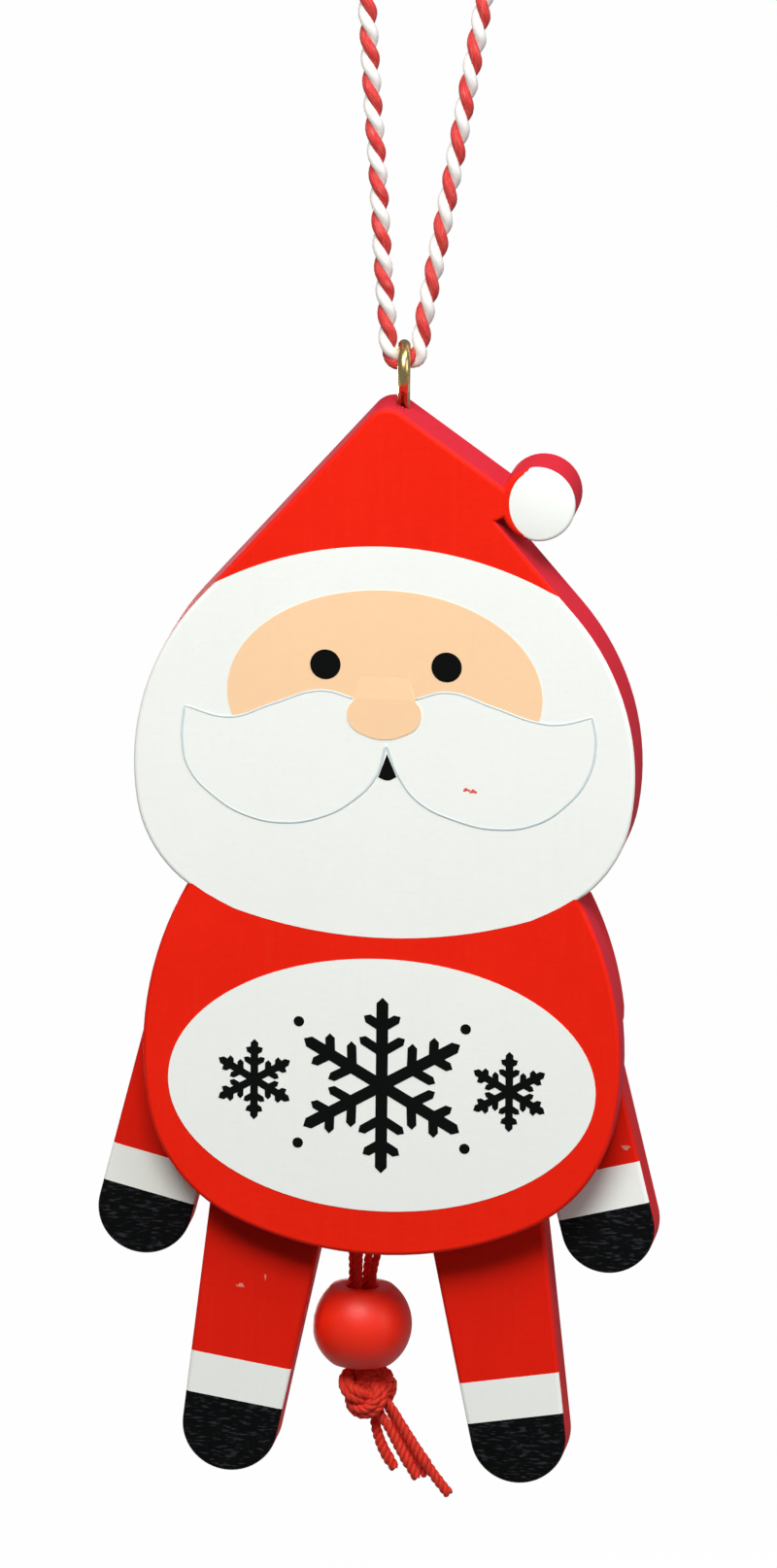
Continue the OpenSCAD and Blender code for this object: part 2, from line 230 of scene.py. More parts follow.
def paint_film(name, solid, cutter):
    """A coat of paint on the part of a solid that lies inside the cutter, just proud of it."""
    obj = add_object(name, solid.data.copy())
    obj.data.materials.clear()
    apply_modifier(obj, "BOOLEAN", operation="INTERSECT", solver="EXACT", object=cutter)
    bpy.data.objects.remove(cutter)
    apply_modifier(obj, "DISPLACE", strength=PAINT_LIFT, mid_level=0)
    smooth_shading()
    return obj


# Shader node groups

COLOR, FLOAT, VECTOR = "NodeSocketColor", "NodeSocketFloat", "NodeSocketVector"


def srgb(code):
    """Linear colour of a six-figure colour code."""
    parts = [int(code[i:i + 2], 16) / 255 for i in (0, 2, 4)]
    return tuple(c / 12.92 if c <= 0.04045 else ((c + 0.055) / 1.055) ** 2.4 for c in parts) + (1,)


class Nodes:
    """Short calls for adding and linking the nodes of one tree."""

    def __init__(self, tree):
        self.tree = tree

    def feed(self, node, values):
        """Links or sets a node's inputs by their labels or places."""
        for label, value in values.items():
            if isinstance(value, bpy.types.NodeSocket):
                self.tree.links.new(value, node.inputs[label])
            else:
                node.inputs[label].default_value = value

    def add(self, kind, inputs=None, **settings):
        node = self.tree.nodes.new(kind)
        for name, value in settings.items():
            setattr(node, name, value)
        self.feed(node, inputs or {})
        return node

    def place(self):
        return self.add("ShaderNodeTexCoord").outputs["Object"]

    def math(self, operation, a, b=0.0):
        return self.add("ShaderNodeMath", {0: a, 1: b}, operation=operation).outputs[0]

    def swing(self, value, amount):
        """How far a value is from a half, times an amount."""
        return self.math("MULTIPLY", self.math("SUBTRACT", value, 0.5), amount)

    def mix(self, factor, a, b):
        node = self.add("ShaderNodeMix", {"Factor": factor, "A": a, "B": b}, data_type="RGBA")
        return node.outputs["Result"]

    def span(self, value, source, target):
        """Maps one range of values to another."""
        ends = zip(("From Min", "From Max", "To Min", "To Max"), (*source, *target))
        return self.add("ShaderNodeMapRange", {"Value": value, **dict(ends)}).outputs["Result"]

    def noise(self, vector, scale, detail, rough=0.5):
        values = {"Vector": vector, "Scale": scale, "Detail": detail, "Roughness": rough}
        return self.add("ShaderNodeTexNoise", values).outputs["Fac"]

    def stretched(self, vector, scale, turn=0.0):
        values = {"Vector": vector, "Scale": scale, "Rotation": (0, 0, math.radians(turn))}
        return self.add("ShaderNodeMapping", values).outputs["Vector"]

    def bumps(self, height, strength, depth):
        values = {"Height": height, "Strength": strength, "Distance": depth}
        return self.add("ShaderNodeBump", values).outputs["Normal"]


def new_group(name, inputs, outputs):
    """An empty group, with what it is given and the node that puts its values out."""
    tree = bpy.data.node_groups.new(name, "ShaderNodeTree")
    for way, sockets in (("INPUT", inputs), ("OUTPUT", outputs)):
        for label, kind in sockets.items():
            tree.interface.new_socket(label, in_out=way, socket_type=kind)
    given = tree.nodes.new("NodeGroupInput").outputs
    put = tree.nodes.new("NodeGroupOutput")
    return Nodes(tree), given, put


def brushed_paint_group():
    """Paint over sawn wood: faint grain and brush marks, small tone changes and a few specks."""
    n, given, put = new_group(
        "Paint over wood",
        {"Position": VECTOR, "Colour": COLOR, "Thin colour": COLOR, "Tone": FLOAT, "Grain": FLOAT,
         "Speck": FLOAT, "Speck level": FLOAT, "Speck colour": COLOR, "Gloss": FLOAT},
        {"Colour": COLOR, "Roughness": FLOAT, "Height": FLOAT})
    place, tone = given["Position"], given["Tone"]
    grain = n.noise(n.stretched(place, (1.0, 1.0, 0.06)), scale=1800, detail=4, rough=0.6)
    brush = n.noise(n.stretched(place, (0.10, 1.0, 1.0)), scale=2600, detail=3, rough=0.6)
    cloud = n.noise(place, scale=70, detail=3, rough=0.55)
    pore = n.noise(place, scale=2400, detail=2)
    streak = n.noise(n.stretched(place, (0.22, 1.0, 1.0)), scale=4200, detail=3, rough=0.55)

    thin = n.math("MULTIPLY", n.span(grain, (0.52, 0.80), (0, 1)), given["Grain"])
    body = n.mix(n.math("MULTIPLY", thin, 0.35), given["Colour"], given["Thin colour"])
    shade = n.math("ADD", n.swing(cloud, tone), 1.0)
    for mark in (brush, pore):
        shade = n.math("ADD", shade, n.swing(mark, tone))
    toned = n.add("ShaderNodeHueSaturation", {"Value": shade, "Color": body}).outputs["Color"]
    rise = n.span(n.math("SUBTRACT", streak, given["Speck level"]), (0, 0.1), (0, 1))
    speck = n.math("MULTIPLY", rise, given["Speck"])

    rough = n.math("ADD", given["Gloss"], n.swing(cloud, 0.25))
    rough = n.math("ADD", rough, n.swing(pore, 0.15))
    height = n.math("ADD", n.math("MULTIPLY", grain, given["Grain"]), n.math("MULTIPLY", brush, 0.35))
    height = n.math("ADD", height, n.math("MULTIPLY", pore, 0.25))
    n.feed(put, {"Colour": n.mix(speck, toned, given["Speck colour"]), "Roughness": rough,
                 "Height": height})
    return n.tree


def yarn_group():
    """Spun fibres that run round a ply at a slant, from the cord's own UV map in millimetres."""
    n, given, put = new_group(
        "Spun fibres",
        {"Along": VECTOR, "Colour": COLOR, "Pale": COLOR, "Dark": COLOR},
        {"Colour": COLOR, "Height": FLOAT})
    slanted = n.stretched(given["Along"], (9.0, 0.8, 1.0), turn=32)
    fibre = n.noise(slanted, scale=1.4, detail=4, rough=0.65)
    patch = n.noise(given["Along"], scale=0.7, detail=3)
    colour = n.mix(n.span(fibre, (0.5, 0.72), (0, 0.75)), given["Colour"], given["Pale"])
    colour = n.mix(n.span(fibre, (0.46, 0.30), (0, 0.7)), colour, given["Dark"])
    colour = n.mix(n.span(patch, (0.55, 0.8), (0, 0.3)), colour, given["Pale"])
    n.feed(put, {"Colour": colour, "Height": fibre})
    return n.tree


PAINT_GROUP = brushed_paint_group()
YARN_GROUP = yarn_group()


# Materials

PAINT_BUMP, YARN_BUMP, BRASS_BUMP = 0.05 * MM, 0.08 * MM, 0.03 * MM
# How far a face looks to the front or back where the painted sheen on its sides is full and where it
# ends
SIDE_SHEEN_TURN, SIDE_SHEEN_SHARE = (0.2, 0.75), 0.9


def new_material(name):
    material = bpy.data.materials.new(name)
    material.use_nodes = True
    return material, Nodes(material.node_tree), material.node_tree.nodes["Principled BSDF"]


def painted(name, colour, thin, tone=0.08, grain=0.5, speck=0.0, speck_level=0.7,
            speck_colour="FFFFFF", gloss=0.4, bump=0.12, sheen=0.2, side=None):
    """Brushed paint; side is a painted reflection: a cooler colour on its faces that don't look to the
    front or back, for the cool light and sheen that fall there.
    """
    material, n, shader = new_material(name)
    values = {"Position": n.place(), "Colour": srgb(colour), "Thin colour": srgb(thin), "Tone": tone,
              "Grain": grain, "Speck": speck, "Speck level": speck_level,
              "Speck colour": srgb(speck_colour), "Gloss": gloss}
    paint = n.add("ShaderNodeGroup", values, node_tree=PAINT_GROUP).outputs
    tint = paint["Colour"]
    # Painted reflection: faces that turn away from the front and back shift to the side colour, which
    # stands in for the cool light and sheen on the sides
    if side:
        normal = n.add("ShaderNodeNewGeometry").outputs["Normal"]
        split = n.add("ShaderNodeSeparateXYZ", {0: normal}).outputs
        turned = n.span(n.math("ABSOLUTE", split["Y"]), SIDE_SHEEN_TURN, (SIDE_SHEEN_SHARE, 0))
        tint = n.mix(turned, tint, srgb(side))
    n.feed(shader, {"Base Color": tint, "Roughness": paint["Roughness"],
                    "Normal": n.bumps(paint["Height"], bump, PAINT_BUMP),
                    "Specular IOR Level": sheen})
    return material


def spun(name, colour, pale, dark):
    material, n, shader = new_material(name)
    along = n.add("ShaderNodeUVMap", uv_map="Along").outputs["UV"]
    values = {"Along": along, "Colour": srgb(colour), "Pale": srgb(pale), "Dark": srgb(dark)}
    yarn = n.add("ShaderNodeGroup", values, node_tree=YARN_GROUP).outputs
    n.feed(shader, {"Base Color": yarn["Colour"], "Roughness": 0.75,
                    "Normal": n.bumps(yarn["Height"], 0.5, YARN_BUMP),
                    "Sheen Weight": 0.1, "Sheen Roughness": 0.4})
    return material


def brass_material(name, colour, dull):
    material, n, shader = new_material(name)
    place = n.place()
    blotch = n.noise(place, scale=900, detail=4, rough=0.6)
    scratch = n.noise(n.stretched(place, (1.0, 0.15, 1.0)), scale=5200, detail=2)
    tint = n.mix(n.span(blotch, (0.45, 0.75), (0, 1)), srgb(colour), srgb(dull))
    n.feed(shader, {"Base Color": tint, "Roughness": n.span(blotch, (0.3, 0.7), (0.14, 0.34)),
                    "Normal": n.bumps(scratch, 0.08, BRASS_BUMP), "Metallic": 1.0})
    return material


# The side colours of the two reds are painted reflection: a cooler crimson on the side faces for the
# cool light and sheen on them
RED_BOARD = painted("red_board_paint", "F01F06", "F43A1C", tone=0.1, grain=0.45, gloss=0.62,
                    sheen=0.14, side="D92B3D")
# Painted shade: the limbs' red is a darker copy of the board's red, for the shade that falls on the
# limbs
SHADED_RED_LIMB = painted("shaded_red_limb_paint", "E61B06", "EC341A", tone=0.1, gloss=0.62, sheen=0.14,
                   side="DC2A32")
RED_BEAD = painted("red_bead_paint", "FF2C0E", "FF4A28", grain=0.35, gloss=0.5, sheen=0.5)
WHITE = painted("white_paint", "F6F9F2", "EFF1E8", tone=0.035, speck=0.3, speck_level=0.66,
                speck_colour="E0E4DC", gloss=0.55, bump=0.1)
SKIN = painted("skin_paint", "FED5A8", "FBCB98", tone=0.04, grain=0.4, gloss=0.5, bump=0.1)
BLACK = painted("black_paint", "040505", "090A0B", tone=0.2, grain=0.6, speck=0.75,
                speck_level=0.54, speck_colour="323339", gloss=0.55, sheen=0.1)
PRINT_BLACK = painted("black_print", "070808", "101112", tone=0.1, grain=0.3, gloss=0.55,
                      bump=0.06, sheen=0.1)
FLECK_RED = painted("red_fleck_paint", "E4574A", "F0A79C", tone=0.3, grain=1.0, gloss=0.6)
CHIP_PALE = painted("pale_chip", "D98B7C", "B54A38", tone=0.3, grain=1.0, gloss=0.6)
LINE_GREY = painted("pale_blue_line", "D3E0E2", "C6D6DA", tone=0.05, grain=0.3, gloss=0.5, bump=0.06)
RED_CORD = spun("red_cord_yarn", "E22A10", "F0502F", "A0170A")
TWINE_RED = spun("twine_red_yarn", "CF2A26", "EE8A80", "8C1512")
TWINE_WHITE = spun("twine_white_yarn", "F3EDE6", "FFFFFF", "C9BDB4")
EYE_BRASS = brass_material("bright_brass", "EBD190", "C2A25C")
PIN_BRASS = brass_material("pin_brass", "D9B066", "9A743A")


def finish_piece(obj, material, body, slot, *nodes):
    """Gives a piece its material and its body, and hides the CAD nodes that it stands for; slot is not
    used.
    """
    if material is not None:
        obj.data.materials.clear()
        obj.data.materials.append(material)
    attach(obj, body)
    if nodes:
        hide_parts(*nodes)
    return obj


# Camera, set for the photograph's frame of 800 by 1614 pixels, ten to the millimetre at the eye

VIEW_AZIMUTH, VIEW_ELEVATION, VIEW_ROLL = map(math.radians, (7.2, 14.5, 0.6))
VIEW_DISTANCE, VIEW_CLIP, VIEW_LENS = 3.138, 0.01, 700
# The eye's place in the picture, from the picture's middle
EYE_RIGHT, EYE_UP = 1.6 * MM, 42.93 * MM


def make_camera():
    right = Vector((math.cos(VIEW_AZIMUTH), math.sin(VIEW_AZIMUTH), 0))
    back = Vector((math.sin(VIEW_AZIMUTH) * math.cos(VIEW_ELEVATION),
                   -math.cos(VIEW_AZIMUTH) * math.cos(VIEW_ELEVATION), math.sin(VIEW_ELEVATION)))
    up = back.cross(right)
    rolled_right = right * math.cos(VIEW_ROLL) + up * math.sin(VIEW_ROLL)
    rolled_up = up * math.cos(VIEW_ROLL) - right * math.sin(VIEW_ROLL)
    target = -EYE_RIGHT * rolled_right - EYE_UP * rolled_up
    camera = add_object("camera", bpy.data.cameras.new("camera"))
    camera.data.lens = VIEW_LENS
    camera.data.clip_start = VIEW_CLIP
    turn = Matrix((rolled_right, rolled_up, back)).transposed().to_4x4()
    camera.matrix_world = Matrix.Translation(target + VIEW_DISTANCE * back) @ turn
    bpy.context.scene.camera = camera


# Cords

# Share of a cord's radius that one of its two or three plies has
PLY_SHARE = {2: 0.60, 3: 0.52}
# Millimetres on the UV map from ply to ply, and between the corners of a cap
PLY_SHIFT, CAP_STEP = 7, 0.1
ROUTE_STEPS, CORD_SMOOTH = 24, 50


def smooth_route(knots, step):
    """Even points along a smooth line through the given points."""
    knots = [Vector(k) for k in knots]
    ends = [2 * knots[0] - knots[1]] + knots + [2 * knots[-1] - knots[-2]]
    fine = []
    for a, b, c, d in zip(ends, ends[1:], ends[2:], ends[3:]):
        for i in range(ROUTE_STEPS):
            t = i / ROUTE_STEPS
            fine.append(0.5 * ((2 * b) + (c - a) * t + (2 * a - 5 * b + 4 * c - d) * t * t
                               + (3 * b - a - 3 * c + d) * t ** 3))
    fine.append(knots[-1])
    total = route_length(fine)
    count = max(2, round(total / step))
    spacing = total / count
    spaced, gone, goal = [fine[0]], 0.0, spacing
    for p, q in zip(fine, fine[1:]):
        run = (q - p).length
        while gone + run >= goal - 1e-12 and len(spaced) < count:
            spaced.append(p.lerp(q, (goal - gone) / run))
            goal += spacing
        gone += run
    spaced.append(fine[-1])
    return spaced


def route_length(route):
    return sum((q - p).length for p, q in zip(route, route[1:]))


def side_vectors(route):
    """Two directions square to the route at each point, turning as little as possible."""
    ahead = []
    for i in range(len(route)):
        ahead.append((route[min(i + 1, len(route) - 1)] - route[max(i - 1, 0)]).normalized())
    side = ahead[0].orthogonal().normalized()
    pairs = []
    for run in ahead:
        side = (side - side.dot(run) * run).normalized()
        pairs.append((side, run.cross(side)))
    return pairs


def ply_tube(line, radii, sides, lengths, girth, shift):
    """Vertices, faces and UVs of one closed tube along a line."""
    verts, faces, uvs = [], [], []
    for p, r, (u, v) in zip(line, radii, side_vectors(line)):
        for a in round_turns(sides):
            verts.append(p + r * (math.cos(a) * u + math.sin(a) * v))
    for i in range(len(line) - 1):
        near, far = i * sides, (i + 1) * sides
        v0, v1 = lengths[i] / MM + shift, lengths[i + 1] / MM + shift
        for k in range(sides):
            k2 = (k + 1) % sides
            faces.append((near + k, near + k2, far + k2, far + k))
            u0, u1 = girth * k / sides, girth * (k + 1) / sides
            uvs.extend([(u0, v0), (u1, v0), (u1, v1), (u0, v1)])
    for ring in (0, len(line) - 1):
        cap = [ring * sides + k for k in range(sides)]
        faces.append(tuple(reversed(cap)) if ring == 0 else tuple(cap))
        uvs.extend([(CAP_STEP * k, lengths[ring] / MM) for k in range(sides)])
    return verts, faces, uvs


def plied_cord(name, route, radius, plies, lay, materials, sides, start_turn=0.0, swell=None):
    """A cord of twisted plies along a route, as one mesh with its length and girth in a UV map.

    swell gives how many times its radius the cord is at each point of its route.
    """
    ply_r = radius * PLY_SHARE[plies]
    swing = radius - ply_r
    girth = 2 * math.pi * ply_r / MM
    swell = swell or [1.0] * len(route)
    radii = [ply_r * k for k in swell]
    pairs = side_vectors(route)
    lengths = [0.0]
    for p, q in zip(route, route[1:]):
        lengths.append(lengths[-1] + (q - p).length)
    verts, faces, uvs, slots = [], [], [], []
    for ply in range(plies):
        turns = [start_turn + 2 * math.pi * (ply / plies + s / lay) for s in lengths]
        line = [p + swing * k * (math.cos(t) * u + math.sin(t) * v)
                for p, t, k, (u, v) in zip(route, turns, swell, pairs)]
        points, rings, marks = ply_tube(line, radii, sides, lengths, girth, PLY_SHIFT * ply)
        base = len(verts)
        verts += points
        faces += [tuple(base + corner for corner in face) for face in rings]
        uvs += marks
        slots += [ply % len(materials)] * len(rings)
    mesh = bpy.data.meshes.new(name)
    mesh.from_pydata([tuple(v) for v in verts], [], faces)
    layer = mesh.uv_layers.new(name="Along")
    for loop, uv in zip(layer.data, uvs):
        loop.uv = uv
    for material in materials:
        mesh.materials.append(material)
    for face, slot in zip(mesh.polygons, slots):
        face.material_index = slot
    obj = add_object(name, mesh)
    with edit_mode(obj, "SELECT"):
        bpy.ops.mesh.normals_make_consistent(inside=False)
    smooth_shading(CORD_SMOOTH)
    return obj


def coil(centre, axis, radius, rise, turns, steps=28):
    """Points of a coil round an axis through its centre, rising by so much in each turn."""
    axis = Vector(axis).normalized()
    aside = axis.orthogonal().normalized()
    across = axis.cross(aside)
    points = []
    for i in range(round(turns * steps) + 1):
        a = 2 * math.pi * i / steps
        lift = rise * (i / steps - turns / 2)
        points.append(centre + radius * (math.cos(a) * aside + math.sin(a) * across) + lift * axis)
    return points


# The twine's route as (x, z) millimetres from the eye, down to the ring and back up
TWINE_LEFT = [(0.4, 50.5), (-2.4, 48.8), (-4.2, 45.6), (-4.6, 42), (-4.2, 38),
              (-3.6, 29), (-2.9, 20), (-2.3, 11), (-1.8, 5)]
TWINE_RIGHT = [(2, 5), (3.1, 11), (4.7, 20), (6.2, 29),
               (7.7, 38), (8.3, 42), (8, 45.6), (6.2, 48.8), (3.4, 50.5)]
# The twine's turn round the ring's wire, with a little room
TURN_R = WIRE_R + TWINE_R + 0.03 * MM
# A minus sign winds the plies the other way round
TWINE_LAY, TWINE_SIDES, TWINE_STEP = -4.9 * MM, 12, 0.36 * MM
# Laps of the twine's knot as an axis and a shift up in millimetres, and their coil
TWINE_LAPS = [((0.5, 0.2, 1), -0.5), ((-0.6, 0.3, 1), 0.5), ((1, 0.5, 0.2), 0.0)]
LAP_COIL, LAP_R = (1.35 * MM, 0.1 * MM, 1.1), 0.95 * TWINE_R
# Its two cut ends
END_LENGTH, END_LEAN, END_BOW, END_STEPS = 7.1 * MM, math.radians(24), 0.25 * MM, 24


def twine_cord(name, route, radius=TWINE_R):
    return plied_cord(name, route, radius, 2, TWINE_LAY, [TWINE_RED, TWINE_WHITE], TWINE_SIDES)


def hanging_twine():
    left = [(x * MM, 0, z * MM) for x, z in TWINE_LEFT]
    turn = [(TURN_R * math.cos(a), 0, RING_R + TURN_R * math.sin(a))
            for a in even(math.pi, 2 * math.pi, 9)]
    right = [(x * MM, 0, z * MM) for x, z in TWINE_RIGHT]
    route = smooth_route(left + turn + right, TWINE_STEP)
    twine = twine_cord("hanging_twine_yarn", route)
    finish_piece(twine, None, "figure", "twine", "hanging_twine")


def twine_knot():
    """Overhand knot of both ends of the twine, above the loop, with its two cut ends."""
    parts = []
    for axis, shift in TWINE_LAPS:
        centre = TWINE_KNOT_C + Vector((0, 0, shift * MM))
        parts.append(twine_cord("lap", coil(centre, axis, *LAP_COIL), LAP_R))
    for side in SIDES:
        lean = Vector((math.sin(END_LEAN) * side, 0, math.cos(END_LEAN)))
        bow = Vector((END_BOW * side, 0, 0))
        line = [TWINE_KNOT_C + lean * END_LENGTH * t + bow * math.sin(math.pi * t)
                for t in even(0, 1, END_STEPS)]
        parts.append(twine_cord("end", line))
    finish_piece(joined("twine_knot_laps", parts), None, "figure", "twine", "twine_knot")


# Places of the strings and of the pull cords with their loose ends: x from the board's centre line,
# y from the strings and z from the eye, in millimetres
HITCHES = {"arm": (-1.8, 0, -65), "leg": (-0.4, 0, -84)}
HOLES = {"arm": {LEFT: (-14.89, 0, -63), RIGHT: (13.09, 0, -63)},
         "leg": {LEFT: (-5.07, 0, -83), RIGHT: (3.27, 0, -83)}}
STRANDS = {
    "arm": [[(-2.4, 1.2, -76), (-2.6, 1.3, -84), (-4.1, 0.9, -93), (-4.05, 0.25, -99),
             (-4.05, 0.25, -109), (-1.9, 0.6, -113), (-1.5, 0.6, -115.5), (-0.7, 0.6, -117.8),
             (0.5, 0.6, -119.8)],
            [(-1.4, 1.2, -76), (-1.5, 1.3, -84), (-1.9, 1, -93), (-2.65, 0.55, -99),
             (-2.65, 0.55, -109), (-0.6, 0.6, -112.6), (0.7, 0.6, -115), (2.3, 0.6, -117.8),
             (3.8, 0.6, -120.4)]],
    "leg": [[(-1.3, 0.1, -91), (-3.1, -0.4, -95), (-3.35, -0.55, -99.5), (-3.35, -0.55, -109),
             (-0.2, -0.6, -112.4), (1.3, -0.5, -114.8), (3, -0.4, -117.6), (4.8, -0.3, -120.2),
             (6.3, -0.3, -122.1)],
            [(-0.2, 0.1, -91), (-1, -0.2, -95), (-1.95, -0.25, -99.5), (-1.95, -0.25, -109),
             (-1.3, -0.6, -112.8), (0.1, -0.6, -115.3), (1.6, -0.6, -118), (3, -0.6, -120.4)]]}
# Where a strand starts at its hitch: this far beside, behind and below it
CORD_START = (0.5, 0.5, 1.5)
STRING_LAY, STRING_SIDES = 2.2 * MM, 8
CORD_STEP, STRAND_TURN = 0.2 * MM, 2.1
# The loose ends open out by this much of the cord's own thickness, this far below the knot,
# and close a little again at their tips
TAIL_SWELL, TAIL_DROP = 0.5, 8 * MM
TAIL_TIP, TAIL_TIP_SHARE = 0.97, 0.6
# A cross string stops this short of the middle of its hole
STRING_SHORT, STRING_STEPS = 0.7 * MM, 40
# Coils as a radius, a rise in each turn and a number of turns
TIE_COIL, LOOP_COIL, WRAP_COIL = (
    (0.56 * MM, 0.42 * MM, 2.4), (0.72 * MM, 0.86 * MM, 2), (0.5 * MM, 0.4 * MM, 1.5))
TIE_LEVELS = even(LIMB_FRONT_Y, LIMB_FRONT_Y + 4.95 * MM, 9)
LOOP_SHIFT, WRAP_SHIFT = Vector((0, 0, -0.25 * MM)), Vector((0, 0.1 * MM, -1.35 * MM))
LOOP_AXIS, WRAP_AXIS, HITCH_STRAND_R = (1, 0, 0), (0.3, 0.2, 1), 0.4 * MM


def cord_point(x, y, z):
    return Vector((x * MM - EYE_OFFSET, STRING_Y + y * MM, z * MM))


def string_cord(name, line, turn=0.0, radius=STRING_R, swell=None):
    return plied_cord(name, line, radius, 3, STRING_LAY, [RED_CORD], STRING_SIDES, turn, swell)


def pull_cords():
    """The four strands of the two doubled pull cords, from their hitches to their loose ends."""
    beside, behind, below = CORD_START
    for owner, (x, _, z) in HITCHES.items():
        for k, route in enumerate(STRANDS[owner]):
            first = (x + (2 * k - 1) * beside, behind, z - below)
            line = smooth_route([cord_point(*p) for p in [first] + route], CORD_STEP)
            down = [min(max((KNOT_C.z - p.z) / TAIL_DROP, 0), 1) for p in line]
            swell = [1 + TAIL_SWELL * d * (1 if d < TAIL_TIP else TAIL_TIP_SHARE) for d in down]
            strand = string_cord(f"{owner}_pull_strand_{k + 1}", line, STRAND_TURN * k, swell=swell)
            finish_piece(strand, None, "pull", "red_cord", f"{owner}_pull_cord",
                         f"{owner}_cord_tails")


def cross_strings():
    """A string between the arms and one between the legs, drawn down a little at its hitch."""
    for owner, hitch in HITCHES.items():
        middle = cord_point(*hitch)
        ends = [cord_point(*HOLES[owner][side]) for side in SIDES]
        ends = [end + (middle - end).normalized() * STRING_SHORT for end in ends]
        steps = even(0, 1, STRING_STEPS)
        line = [ends[0].lerp(middle, t) for t in steps[:-1]]
        line += [middle.lerp(ends[1], t) for t in steps]
        string = string_cord(f"{owner}_cross_string", line)
        finish_piece(string, None, "pull", "red_cord", f"{owner}_string")


def ties_and_hitches():
    """String ends knotted behind the limbs, and the pull cords' loops over the cross strings."""
    for owner, holes in HOLES.items():
        for side, word in SIDES.items():
            hole = cord_point(*holes[side])
            through = [Vector((hole.x, y, hole.z)) for y in TIE_LEVELS]
            knot = coil(hole, (0.25 * side, 1, 0.2), *TIE_COIL)
            parts = [string_cord("tie_leg", through), string_cord("tie_knot", knot)]
            tie = joined(f"{word}_{owner}_tie_knot", parts)
            finish_piece(tie, None, f"{word}_{owner}", "red_cord", f"{word}_{owner}_tie")
    for owner, hitch in HITCHES.items():
        middle = cord_point(*hitch)
        loops = [coil(middle + LOOP_SHIFT, LOOP_AXIS, *LOOP_COIL),
                 coil(middle + WRAP_SHIFT, WRAP_AXIS, *WRAP_COIL)]
        parts = [string_cord("hitch_loop", line, radius=HITCH_STRAND_R) for line in loops]
        hitched = joined(f"{owner}_hitch_loops", parts)
        finish_piece(hitched, None, "pull", "red_cord", f"{owner}_string_hitch")


KNOT_SIZE, KNOT_DEPTH, KNOT_STEPS = 0.72 * MM, 1.2, 120
KNOT_STRANDS, KNOT_STRAND_R, KNOT_BUNDLE_R = 4, 0.56 * MM, 0.54 * MM
KNOT_TURN = Euler((math.radians(62), math.radians(-20), math.radians(18)))


def pull_knot():
    """Overhand knot drawn tight: a trefoil laid over, of all four strands side by side."""
    line = []
    for t in even(0, 2 * math.pi, KNOT_STEPS):
        reach = 2 + math.cos(3 * t)
        spot = Vector((reach * math.cos(2 * t), reach * math.sin(2 * t), KNOT_DEPTH * math.sin(3 * t)))
        spot.rotate(KNOT_TURN)
        line.append(KNOT_C + KNOT_SIZE * spot)
    pairs = side_vectors(line)
    parts = []
    for k, start in enumerate(round_turns(KNOT_STRANDS)):
        turns = even(start, start + math.pi, KNOT_STEPS)
        strand = [p + KNOT_BUNDLE_R * (math.cos(a) * u + math.sin(a) * v)
                  for p, a, (u, v) in zip(line, turns, pairs)]
        parts.append(string_cord("knot_strand", strand, turn=k, radius=KNOT_STRAND_R))
    finish_piece(joined("pull_knot_laps", parts), None, "pull", "red_cord", "pull_knot")


# The painted board

HEAD_R = 26.1 * MM
BRIM_R, BRIM_DROP, BRIM_HALF_W, BRIM_STEPS = 37 * MM, 18.3 * MM, 21 * MM, 40
# White runs this far past the board's sides, between these drops
PAST_SIDE, PAST_START, PAST_END = 1.4 * MM, 30 * MM, 50 * MM
# Right end of the head's lower edge, from past the board's side, as (x, drop) millimetres
JAW = [(21.0, 55.18), (19.88, 54.94), (18.4, 55.9), (17.0, 56.66)]
BEARD_R, BEARD_DROP, BEARD_HALF_W, BEARD_STEPS = 49 * MM, 59.9 * MM, 15.5 * MM, 39
BOBBLE_X, BOBBLE_DROP, BOBBLE_R = 15.6 * MM, 13.2 * MM, 3.9 * MM
BOBBLE_NECK_REACH, BOBBLE_DEPTH, BOBBLE_STEPS = 3.2 * MM, 0.45 * MM, 72
CUT_MARGIN = 1 * MM


def coat_level(layer):
    """The Y of a coat's surface on the board's front, so many coats up."""
    return FRONT_Y - PAINT_LIFT - layer * PAINT_STEP


def head_paint_outline():
    """White from the hat's brim down to the beard, past the board's own edge at the sides."""
    half = math.asin(BRIM_HALF_W / BRIM_R)
    brim = [on_board(BRIM_R * math.sin(t), BRIM_DROP + BRIM_R * (1 - math.cos(t)))
            for t in even(-half, half, BRIM_STEPS)]
    beyond = HEAD_R + PAST_SIDE
    right = [on_board(beyond, PAST_START), on_board(beyond, PAST_END)] + drawn(JAW)
    left = drawn([(-x, drop) for x, drop in reversed(JAW)])
    left += [on_board(-beyond, PAST_END), on_board(-beyond, PAST_START)]
    return brim + right + arc_down(BEARD_R, BEARD_DROP, BEARD_HALF_W, BEARD_STEPS) + left


def bobble_outline():
    """White over the bobble's round end, a little short of its neck on the left."""
    x, z = on_board(BOBBLE_X, BOBBLE_DROP)
    r = BOBBLE_R + PAINT_LIFT
    outline = []
    for t in round_turns(BOBBLE_STEPS):
        across = r if math.cos(t) > 0 else BOBBLE_NECK_REACH
        outline.append((x + across * math.cos(t), z + r * math.sin(t)))
    return outline


